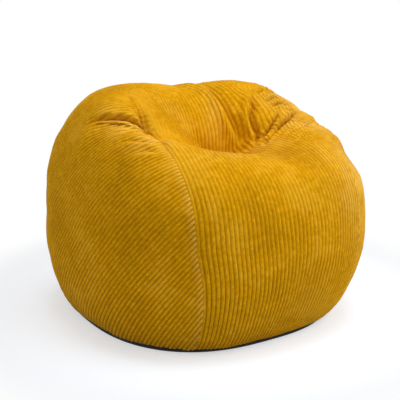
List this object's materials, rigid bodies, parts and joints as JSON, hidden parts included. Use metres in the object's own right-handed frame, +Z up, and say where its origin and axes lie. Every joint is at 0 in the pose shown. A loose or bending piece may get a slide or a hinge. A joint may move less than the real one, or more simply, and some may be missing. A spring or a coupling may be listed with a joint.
{
  "type": "bean bag chair",
  "caption": "Round corduroy bean bag chair with a sat-in hollow, disc side panels, a flat black base and a zipped cover over a zipped liner of beads.",
  "frame": {"origin": "on the floor, under the middle of the chair's overall length and width", "axes": "+Z up, the seat's open front towards -Y, the chair's left side as seen from the front towards -X"},
  "size_m": [0.8538, 0.8388, 0.6329],
  "materials": {
    "mustard_corduroy": "wide-wale cotton corduroy with a soft nap sheen",
    "black_base_cloth": "matt black woven polyester, slightly coated",
    "liner_cloth": "plain undyed non-woven lining",
    "black_tape": "black woven zip tape",
    "white_tape": "white woven zip tape",
    "black_resin": "black moulded zip teeth",
    "white_resin": "white moulded zip teeth",
    "zinc": "die-cast zinc with a dull plating",
    "bead_foam": "expanded polystyrene beads"
  },
  "bodies": {
    "chair": {"cover_centre_panel": "mustard_corduroy", "liner_centre_panel": "liner_cloth", "cover_left_panel": "mustard_corduroy", "liner_left_panel": "liner_cloth", "cover_right_panel": "mustard_corduroy", "liner_right_panel": "liner_cloth", "cover_base_front": "black_base_cloth", "liner_base_front": "liner_cloth", "cover_zip_tape_front": "black_tape", "liner_zip_tape_front": "white_tape", "cover_zip_teeth_front": "black_resin", "liner_zip_teeth_front": "white_resin", "cover_zip_top_stop_front": "zinc", "liner_zip_top_stop_front": "zinc", "cover_base_back": "black_base_cloth", "liner_base_back": "liner_cloth", "cover_zip_tape_back": "black_tape", "liner_zip_tape_back": "white_tape", "cover_zip_teeth_back": "black_resin", "liner_zip_teeth_back": "white_resin", "cover_zip_top_stop_back": "zinc", "liner_zip_top_stop_back": "zinc", "cover_zip_bottom_stop": "zinc", "liner_zip_bottom_stop": "zinc", "bead_fill": "bead_foam"},
    "cover_slider": {"cover_zip_slider": "zinc"},
    "liner_slider": {"liner_zip_slider": "zinc"}
  },
  "joints": [
    {"name": "cover_zip_slide", "type": "slide", "parent": "chair", "child": "cover_slider", "axis": [-1, 0, 0], "range_m": [0, 0.471], "deforming": ["cover_zip_teeth_front", "cover_zip_teeth_back"]},
    {"name": "liner_zip_slide", "type": "slide", "parent": "chair", "child": "liner_slider", "axis": [-1, 0, 0], "range_m": [0, 0.391], "deforming": ["liner_zip_teeth_front", "liner_zip_teeth_back"]}
  ]
}
